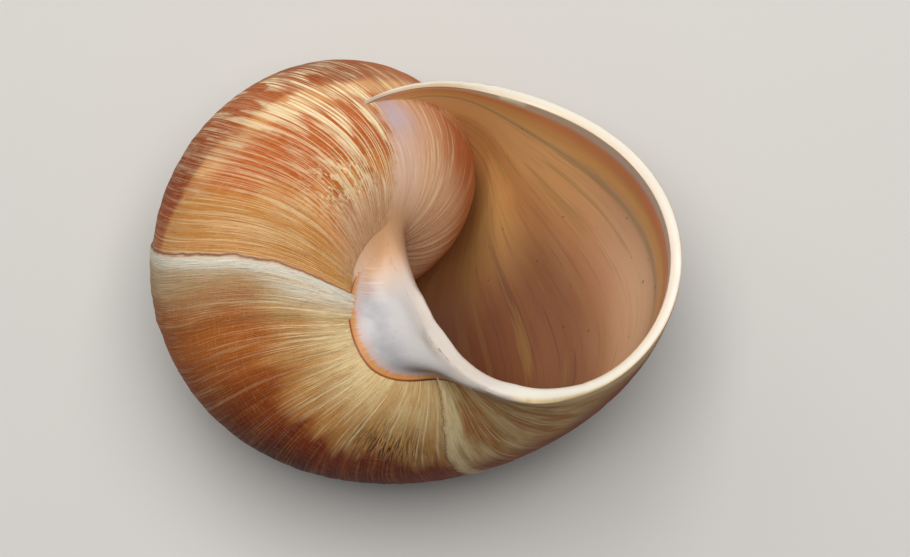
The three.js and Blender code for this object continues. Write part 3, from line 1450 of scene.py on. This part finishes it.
class ShellBrush(Brush):
    """Paints the shell by the age and the place of its growth lines.

    In each layer, c holds the colours, t is the age and p the place. On the callus, age is
    that of the whorl under its rim, and the share across runs from 0 at the rim to 1 where
    the callus meets the lip.
    """

    def __init__(
        self, material: bpy.types.Material, tones: ShellTones, tubes: TubeTree, spots: list[Vector]
    ) -> None:
        """Starts on the shell's material.

        Args:
            material: The material that the shell carries.
            tones: The colours.
            tubes: The tube tree, which names the maps.
            spots: The middle and the top of the saddle where callus, lip and glaze meet.
        """
        super().__init__(material, tones.orange)
        self.tones = tones
        self.saddle_spots = spots
        self.age, self.place = self.pair(tubes.growth_map)
        self.within, self.on_callus = self.pair(tubes.skin_map)
        self.line = tubes.rule.line_age(self.age, self.place)

    def young(self) -> None:
        """Paints the older shell, up to the first halt."""
        c = self.tones
        t, p = self.line, self.place
        here = 1.0 - smooth(t, c.first_halt - c.change, c.first_halt)
        drift = self.noise(t * 3.0, p * 2.6, 8.6) - 0.5
        band = p + drift * 0.3
        fresh = smooth(t + drift * 0.6, -4.1, -3.8)
        upper = smooth(band, -0.2, -0.1)
        lower = smooth(band, -1.02, -0.8) * (1.0 - smooth(band, -0.4, -0.3)) * (1.0 - fresh)
        self.lay(c.rust, (upper + lower) * here * 0.93)
        deeper = bump(t, -3.95, 0.4) + bump(t, -5.0, 0.25) + 0.15
        self.lay(c.red_brown, upper * deeper * here * 0.6)
        self.lay(c.honey, (1.0 - upper) * fresh * here * 0.85)
        self.lay(c.amber, smooth(p, -1.3, -1.6) * here * 0.5)
        pale_band = bump(band, -0.27, 0.1) * (1.0 - fresh)
        self.lay(c.cream, pale_band * here * 0.15)
        lines = smooth(self.noise(t * 60.0, p * 0.8, 3.3), 0.44, 0.54)
        blocks = self.noise(t * 7.5, p * 1.7, 3.9) + pale_band * 0.1
        strong = bump(t, -4.75, 0.5) * smooth(p, -1.6, -1.1) * 0.85 + 0.1
        self.lay(c.cream, smooth(blocks, 0.46, 0.58) * lines * strong * here)
        thread = smooth(self.noise(t * 90.0, p * 0.9, 5.2), 0.49, 0.6)
        dense = bump(p, -1.05, 0.4) * bump(t, -4.7, 0.4)
        self.lay(c.cream, thread * (dense * 0.55 + 0.28 - upper * 0.1) * here)
        wiggle = self.noise(t * 7.0, p * 8.0, 2.2, detail=1.0) - 0.5
        broken = smooth(self.noise(t * 12.0, p * 7.0, 2.9, detail=0.0), 0.4, 0.52)
        around = bump(t, -4.36, 0.25) * bump(p, -1.02, 0.2)
        worms = smooth(sin(t * 72.0 + wiggle * 16.0), 0.3, 0.85)
        flecks = smooth(self.noise(t * 36.0, p * 17.0, 2.6, detail=2.0), 0.52, 0.6)
        marks = worms * broken * 0.4 + flecks * 0.5
        self.lay(c.cream, marks * below(around * 1.5, 1.0))
        specks = smooth(self.noise(t * 28.0, p * 11.0, 6.1, detail=2.0), 0.54, 0.62)
        self.lay(c.red_brown, specks * bump(p, -1.62, 0.08) * bump(t, -4.0, 0.22) * 0.8)

    def middle(self) -> None:
        """Paints the shell between the two halts."""
        c = self.tones
        t, p = self.line, self.place
        here = smooth(t, c.first_halt, c.first_halt + c.change)
        here = here * (1.0 - smooth(t, c.second_halt - c.change, c.second_halt))
        shade = self.noise(t * 9.0, p * 1.3, 4.4)
        edge = p + (self.noise(t * 7.0, p * 0.8, 9.4) - 0.5) * 0.6
        high = smooth(edge, -1.3, -1.0) * here
        low = here - high
        newer = smooth(t, -3.1, -2.0)
        self.lay(c.russet, here * 0.7)
        self.lay(c.red_brown, high * (newer * 0.8 + shade * 0.5))
        # Partly the shell's own deep red-brown, partly painted shade: darkest low on the body whorl,
        # where it turns from the light.
        darkest_with_shade = bump(t, -2.0, 0.6) * smooth(edge, -1.05, -0.6)
        self.lay(c.umber, high * below(darkest_with_shade * 1.2, 0.95))
        gold = self.noise(t * 5.0, p * 2.6, 10.3, detail=2.0)
        self.lay(c.sand, low * 0.85)
        self.lay(c.beige, low * smooth(p + gold * 0.4, -1.05, -1.45) * 0.9)
        self.lay(c.fawn, low * smooth(gold, 0.5, 0.66) * 0.5)
        self.lay(c.straw, low * smooth(t, -2.4, -1.4) * 0.5)
        age = t + (shade - 0.5) * 0.35 + smooth(p, -1.3, -0.8) * 0.16
        self.lay(c.buff, (1.0 - smooth(age, -3.35, -2.95)) * here * 0.75)
        self.lay(c.chalk, (1.0 - smooth(age, -3.45, -3.15)) * here * 0.9)
        # Painted shade: the chalk band is greyed towards the whorl's outer edge, where it turns from
        # the light.
        shaded_chalk = smooth(p, -1.6, -0.9) * (1.0 - smooth(age, -3.3, -2.8))
        self.lay(c.chalk_shade, shaded_chalk * here * 0.45)
        line = smooth(self.noise(t * 75.0, p * 1.2, 6.6, detail=4.0), 0.52, 0.64)
        self.lay(c.orange, line * here * 0.3)
        pale = smooth(self.noise(t * 62.0, p * 0.9, 1.6, detail=4.0), 0.54, 0.62)
        self.lay(c.cream, pale * (low * 0.5 + high * (0.18 - newer * 0.17)))
        dashes = smooth(self.noise(t * 110.0, p * 8.0, 7.7), 0.47, 0.54)
        self.lay(c.ink, dashes * bump(t, -1.64, 0.27) * bump(p, -1.22, 0.22) * 0.9)

    def newest(self) -> None:
        """Paints the newest shell, from the second halt to the lip."""
        c = self.tones
        t, p = self.line, self.place
        here = smooth(t, c.second_halt - c.change, c.second_halt)
        shade = self.noise(t * 8.0, p * 1.9, 12.4)
        self.lay(c.toffee, here * 0.85)
        fresh = bump(t, -1.12, 0.1) * 0.5
        self.lay(c.beige, (smooth(shade, 0.46, 0.62) * 0.5 + fresh) * here)
        self.lay(c.brown, smooth(shade, 0.48, 0.36) * here * 0.5)
        olive = smooth(self.noise(t * 13.0, p * 2.4, 14.1), 0.5, 0.62)
        self.lay(c.olive, olive * here * 0.35)
        high = smooth(p + (shade - 0.5) * 0.6, -1.2, -0.85) * here
        self.lay(c.chestnut, high * 0.9)
        pale = smooth(self.noise(t * 55.0, p * 1.2, 15.5, detail=4.0), 0.54, 0.63)
        self.lay(c.cream, pale * (here * 0.4 - high * 0.3))
        self.lay(c.lip_shade, bump(t, -0.13, 0.05) * smooth(p, -1.5, -2.0) * 0.8)
        self.lay(c.cream, smooth(t, -0.16, -0.02) * 0.5)

    def halts(self) -> None:
        """Paints the lines where growth stopped and began again."""
        c = self.tones
        t, p = self.line, self.place
        uneven = t + (self.noise(p * 7.0, 0.0, 1.1, detail=2.0) - 0.5) * 0.04
        self.lay(c.chalk, bump(uneven, c.first_halt + 0.03, 0.035) * 0.8)
        self.lay(c.halt_line, bump(uneven, c.first_halt - 0.008, 0.008) * 0.75)
        scaly = t + (self.noise(p * 16.0, 0.5, 2.1, detail=4.0) - 0.5) * 0.09
        self.lay(c.cream, bump(scaly, c.second_halt + 0.035, 0.035) * 0.55)
        self.lay(c.ink, bump(scaly, c.second_halt - 0.015, 0.009) * 0.45)
        for age, strength in c.old_halts:
            self.lay(c.cream, bump(uneven, age, 0.05) * strength)
            self.lay(c.brown, bump(uneven, age - 0.05, 0.02) * strength)

    def texture(self) -> None:
        """Paints the fine streaks that run all over the outside."""
        c = self.tones
        t, p = self.line, self.place
        fine = self.noise(t * 150.0, p * 4.0, 21.0)
        self.lay(c.brown, smooth(fine, 0.52, 0.68) * 0.24)
        dark_zone = smooth(t, -3.2, -2.6) * smooth(p, -1.3, -0.8)
        self.lay(c.cream, smooth(fine, 0.46, 0.34) * (0.16 - dark_zone * 0.11))
        across = self.noise(t * 11.0, p * 70.0, 22.0, detail=2.0)
        self.lay(c.cream, smooth(across, 0.52, 0.68) * 0.06)
        self.lay(c.worn_apex, smooth(t, -8.5, -14.0) * 0.55)

    def glaze(self) -> Field:
        """Paints the glaze that covers the older whorl inside the mouth.

        Returns:
            Where the glaze lies.
        """
        c = self.tones
        t, p = self.age, self.place
        edge = 0.3 * below(above(-0.4 - p, 0.0), 1.0) - 5.0 + smooth(p, -1.45, -1.74)
        uneven = (self.noise(t * 12.0, p * 12.0, 31.0, detail=2.0) - 0.5) * 0.16
        here = smooth(edge - t + uneven, 0.0, 0.14) * smooth(p, -0.38, -0.45)
        self.lay(c.glaze_pink, here * 0.95)
        streak = self.noise(t * 34.0, p * 2.0, 33.0, detail=4.0)
        deep = smooth(t, -5.3, -5.75) * smooth(p, -1.3, -0.7)
        self.lay(c.glaze_orange, smooth(t, -5.3, -5.8) * here * 0.7)
        self.lay(c.glaze_red, deep * here * 0.55)
        self.lay(c.glaze_cream, smooth(p, -0.65, -1.2) * here * 0.9)
        self.lay(c.glaze_red, smooth(streak, 0.5, 0.64) * here * 0.3)
        pale = smooth(streak, 0.47, 0.35) * here
        self.lay(c.cream, pale * (smooth(t, -6.2, -5.2) * 0.35 + 0.2))
        self.lay(c.glaze_pale, smooth(t, -5.35, -5.0) * here * 0.5)
        self.lay(c.lilac, bump(t, -5.05, 0.17) * bump(p, -0.55, 0.2) * here * 0.85)
        return here

    def inside(self) -> None:
        """Paints the inside of the wall, with painted shade deep in the mouth and a painted glow."""
        c = self.tones
        t, p, share = self.age, self.place, self.within
        here = smooth(share, 0.55, 1.0)
        self.lay(c.flesh, here)
        broad = self.noise(t * 3.6, p * 1.0, 41.0, detail=2.0)
        self.lay(c.inner_honey, smooth(p, 0.1, 1.0) * here * 0.85)
        self.lay(c.inner_clay, smooth(broad, 0.42, 0.6) * here * 0.45)
        self.lay(c.inner_shade, smooth(p, 1.05, 0.4) * smooth(t, -0.5, -0.95) * here * 0.8)
        self.lay(c.inner_pale, smooth(p, 0.7, -0.3) * bump(t, -0.4, 0.26) * here * 0.85)
        # Painted glow: the top of the mouth near the lip is lightened as if lit through the thin wall.
        self.lay(c.inner_painted_glow, smooth(p, 0.0, 0.7) * smooth(t, -0.85, -0.25) * here * 0.75)
        self.lay(c.inner_moss, bump(t, -1.18, 0.16) * bump(p, 0.92, 0.3) * here * 0.5)
        streak = self.noise(t * 17.0, p * 1.1, 43.0)
        self.lay(c.inner_straw, smooth(streak, 0.53, 0.66) * here * 0.4)
        plum = smooth(streak, 0.46, 0.34) * bump(t, -1.15, 0.35)
        self.lay(c.inner_plum, plum * here * 0.3)
        self.lay(c.inner_olive, bump(t, -1.36, 0.1) * smooth(p, 0.3, 0.8) * here * 0.4)
        # Painted shade: the inside darkens deeper into the mouth, away from the lip.
        self.lay(c.inner_deep_shade, smooth(t, -1.0, -1.5) * here * 0.8)
        thin = smooth(self.noise(t * 60.0, p * 0.9, 44.0, detail=2.0), 0.56, 0.66)
        thread = thin * bump(t, -1.05, 0.4) * smooth(p, 1.1, 0.6)
        self.lay(c.inner_thread, thread * here * 0.5)
        self.lay(c.rim_grey, bump(t, -0.285, 0.02) * smooth(p, -0.9, -0.3) * here * 0.6)
        self.lay(c.rim_gold, bump(t, -0.2, 0.04) * smooth(p, -0.9, -0.3) * here * 0.7)
        self.lay(c.rim_coral, bump(t, -0.1, 0.06) * smooth(p, -1.1, -0.3) * here * 0.65)
        self.lay(c.rim_cream, smooth(t, -0.08, -0.02) * here * 0.9)
        self.lay(c.rim_rose, bump(t, -0.05, 0.03) * bump(p, -0.1, 0.6) * here * 0.5)
        dots = smooth(self.noise(t * 36.0, p * 36.0, 45.0, detail=0.0), 0.83, 0.86)
        self.lay(c.ink, dots * here * 0.6)

    def lip(self) -> Field:
        """Paints the lip's roll.

        Returns:
            Where the roll is.
        """
        c = self.tones
        t, p, share = self.age, self.place, self.within
        uneven = (self.noise(p * 9.0, t * 20.0, 51.0) - 0.5) * 0.05
        rolled = smooth(t + uneven, -0.07, -0.015) * smooth(share, 0.0, 0.15)
        self.lay(c.ivory, rolled)
        inner = rolled * smooth(share + uneven * 3.0, 0.3, 0.8)
        self.lay(c.roll_cream, inner * smooth(p, -1.9, -0.9) * 0.85)
        self.lay(c.roll_tan, inner * smooth(p, 0.9, 1.3) * 0.6)
        self.lay(c.roll_rose, inner * bump(p, -0.25, 0.45) * 0.5)
        self.lay(c.roll_tip, rolled * smooth(p, 1.52, 1.68) * 0.5)
        column = smooth(p, -1.75, -2.2) * smooth(p, -3.75, -3.5) * smooth(t, -0.5, -0.05)
        self.lay(c.porcelain, column * 0.9)
        self.lay(c.bone, column * 0.8)
        return rolled

    def callus(self) -> None:
        """Paints the callus."""
        c = self.tones
        t, share, here = self.age, self.place, self.on_callus
        self.lay(c.porcelain, here)
        cloud = smooth(self.noise(t * 3.0, share * 3.0, 61.0), 0.36, 0.64)
        self.lay(c.bluish, (cloud * 0.45 + 0.5) * here * bump(share, 0.3, 0.25))
        ends = below(smooth(share, 0.75, 1.05) + smooth(t, -1.7, -1.2), 1.0)
        self.lay(c.bone, ends * here * 0.8)
        self.lay(c.callus_shade, bump(t, -1.6, 0.4) * bump(share, 0.58, 0.24) * here * 0.8)
        self.lay(c.callus_tan, smooth(t, -3.6, -4.1) * here * 0.85)
        streaks = self.noise(t * 44.0, share * 1.2, 65.0)
        faint = smooth(t, -3.3, -3.8) * smooth(share, 0.7, 0.1) * here
        self.lay(c.rust, smooth(streaks, 0.5, 0.62) * faint * 0.5)
        self.lay(c.cream, smooth(streaks, 0.47, 0.38) * faint * 0.5)
        ticks = self.noise(t * 30.0, share * 1.6, 62.0)
        width = 0.12 + (ticks - 0.5) * 0.22
        shown = smooth(t, -4.3, -3.8) * (1.0 - smooth(t, -0.9, -0.5))
        soft = 1.0 - smooth(share - width, 0.02, 0.14)
        self.lay(c.seam_mauve, soft * shown * here * 0.85)
        band = 1.0 - smooth(share - width * 0.8, -0.03, 0.05)
        self.lay(c.seam_orange, band * shown * here * (0.65 + ticks * 0.5))
        self.lay(c.seam_brown, (1.0 - smooth(share, 0.015, 0.04)) * shown * here * 0.85)
        # Painted shadow: a dark line along the callus's rim where its free edge stands off the whorl.
        newest = bump(t, -1.35, 0.45) * (1.0 - smooth(share, 0.0, 0.05))
        self.lay(c.ink, newest * here * 0.8)
        specks = smooth(self.noise(t * 14.0, share * 30.0, 64.0, detail=1.0), 0.7, 0.74)
        self.lay(c.speck, specks * bump(share, 0.5, 0.12) * bump(t, -2.6, 0.35) * here * 0.9)

    def saddle(self) -> None:
        """Blends the top of the callus, the lip's end and the glaze into one another."""
        c = self.tones
        middle, top = self.saddle_spots
        grain = (self.noise(self.age * 9.0, self.within, 66.0, detail=2.0) - 0.5) * 0.2
        self.lay(c.saddle_grey, self.nearness(middle, 0.0006, 0.003) * 0.75)
        self.lay(c.saddle_peach, self.nearness(top, 0.0022, 0.0064) * 0.6)
        near = self.nearness(top, 0.0002, 0.0056)
        self.lay(c.saddle_tan, smooth(near + grain, 0.15, 1.0) * 0.9)

    def paint(self) -> None:
        """Lays every layer in its turn and ends the material."""
        c = self.tones
        t, p = self.age, self.place
        broad = self.noise(self.line * 3.1, p * 0.9, 0.7)
        self.lay(c.brown, smooth(broad, 0.42, 0.62) * 0.65)
        for layer in (self.young, self.middle, self.newest, self.halts, self.texture):
            layer()
        glazed = self.glaze()
        self.inside()
        rolled = self.lip()
        self.callus()
        self.saddle()
        glossy = below(glazed + smooth(self.within, 0.2, 0.8) + self.on_callus + rolled, 1.0)
        scuffs = self.noise(t * 30.0, p * 12.0, 71.0)
        roughness = 0.64 + (scuffs - 0.5) * 0.3 - glossy * 0.22
        fine = self.noise(t * 170.0, p * 5.0, 72.0)
        height = fine * (1.0 - glossy * 0.85)
        self.finish(roughness, glossy * 0.3, height, c.fine_depth)


@dataclass(frozen=True)
class Studio:
    """The plain floor and the soft lights."""

    floor_half: float = 3.0
    floor_tint: str = "c6c3bd"
    lamp_distance: float = 0.55
    sky_tint: str = "cfd3da"
    sky_strength: float = 0.18

    def floor(self) -> bpy.types.Object:
        """Adds the plain pale floor.

        Returns:
            The floor.
        """
        mesh = bpy.data.meshes.new("floor")
        signs = ((-1, -1), (1, -1), (1, 1), (-1, 1))
        corners = [(x * self.floor_half, y * self.floor_half, 0) for x, y in signs]
        mesh.from_pydata(corners, [], [(0, 1, 2, 3)])
        pale = bpy.data.materials.new("floor")
        pale.use_nodes = True
        shader = pale.node_tree.nodes["Principled BSDF"]
        shader.inputs["Base Color"].default_value = tint(self.floor_tint)
        shader.inputs["Roughness"].default_value = 0.8
        mesh.materials.append(pale)
        return put("floor", mesh)

    def lamp(
        self, name: str, camera: bpy.types.Object, way: tuple[float, float, float],
        size: float, power: float,
    ) -> None:
        """Adds a soft square lamp, aimed at the shell.

        Args:
            name: The lamp's name.
            camera: The camera, which the lamp's way is given from.
            way: How far the lamp is to the right, up and back from the shell.
            size: The side of its square.
            power: Its power in watts.
        """
        light = bpy.data.lights.new(name, "AREA")
        light.energy = power
        light.size = size
        lamp = bpy.data.objects.new(name, light)
        turn = camera.matrix_world.to_3x3()
        lamp.location = turn @ Vector(way).normalized() * self.lamp_distance
        lamp.rotation_euler = (-lamp.location).to_track_quat("-Z", "Y").to_euler()
        bpy.context.scene.collection.objects.link(lamp)

    def light(self, camera: bpy.types.Object) -> None:
        """Adds the lights and the even light all round.

        Args:
            camera: The camera.
        """
        self.lamp("key", camera, (0.0, 0.25, 1.0), 0.32, 3.3)
        self.lamp("fill", camera, (-0.5, 0.8, 0.8), 0.5, 0.8)
        world = bpy.data.worlds.new("studio")
        world.use_nodes = True
        sky = world.node_tree.nodes["Background"]
        sky.inputs["Color"].default_value = tint(self.sky_tint)
        sky.inputs["Strength"].default_value = self.sky_strength
        bpy.context.scene.world = world
        bpy.context.scene.view_settings.view_transform = "Standard"


def main() -> None:
    """Builds the shell, its stage, lights and camera."""
    logging.basicConfig(level=logging.INFO, format="%(message)s")
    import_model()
    rule = GrowthRule()
    tubes = TubeTree(rule, Rows(rule))
    callus = Callus(rule)
    shell = Shell(rule, tubes.rows, tubes, callus)
    material = bpy.data.materials.new("shell")
    whole = shell.solid(material)
    whole.name = "snail_shell"
    placed = shell.place(whole)
    saddle = callus.on_lip(np.array(callus.saddle_places), 0.5, 0.0)
    spots = [placed @ Vector(spot) for spot in saddle]
    ShellBrush(material, ShellTones(), tubes, spots).paint()
    whole.data.shade_smooth()
    whole.data.set_sharp_from_angle(angle=math.radians(shell.sharp_angle))
    evened = whole.modifiers.new("evened", "WEIGHTED_NORMAL")
    evened.keep_sharp = True
    settle(whole)
    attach(whole, "root")
    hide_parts("shell")
    log.info("%s: %d faces", whole.name, len(whole.data.polygons))
    camera = Viewpoint().add(placed)
    bpy.context.view_layer.update()
    studio = Studio()
    studio.floor()
    studio.light(camera)


if __name__ == "__main__":
    main()
